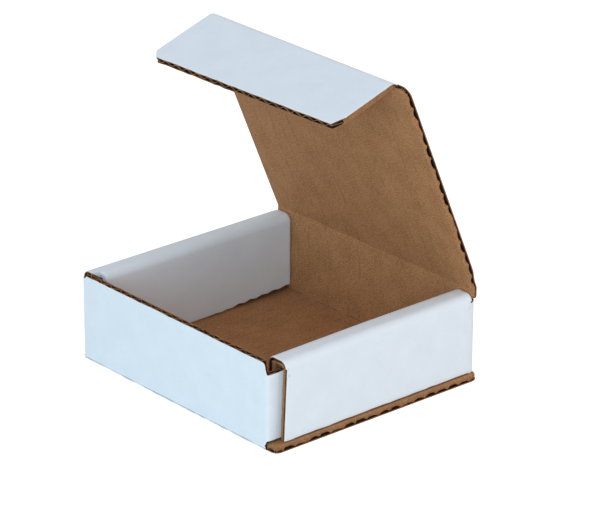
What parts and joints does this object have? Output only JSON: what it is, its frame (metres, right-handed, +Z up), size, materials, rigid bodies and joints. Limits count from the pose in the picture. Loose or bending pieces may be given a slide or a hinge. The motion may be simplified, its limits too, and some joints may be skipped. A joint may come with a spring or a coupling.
{
  "type": "corrugated mailer box",
  "caption": "Folded corrugated mailer box with rolled side walls and a hinged lid whose tuck flap closes behind the front wall.",
  "frame": {"origin": "centre of the base's bottom face", "axes": "+Z up, +X along the hinge of the lid, -Y towards the front wall"},
  "size_m": [0.124, 0.1076, 0.1336],
  "materials": {
    "tray": "matt, white outside and kraft inside",
    "lid": "matt, white outside and kraft inside",
    "tuck_flap": "matt, white outside and kraft inside"
  },
  "bodies": {
    "tray": {"tray": "tray"},
    "lid": {"lid": "lid"},
    "tuck_flap": {"tuck_flap": "tuck_flap"}
  },
  "joints": [
    {"name": "lid_fold", "type": "hinge", "parent": "tray", "child": "lid", "pos_m": [0, 0.0523, 0.0389], "axis": [-1, 0, 0], "range_deg": [-67, 113], "deforming": ["tuck_flap"]},
    {"name": "tuck_fold", "type": "hinge", "parent": "lid", "child": "tuck_flap", "pos_m": [0, 0.01276, 0.13206], "axis": [1, 0, 0], "range_deg": [-85, 15]}
  ]
}
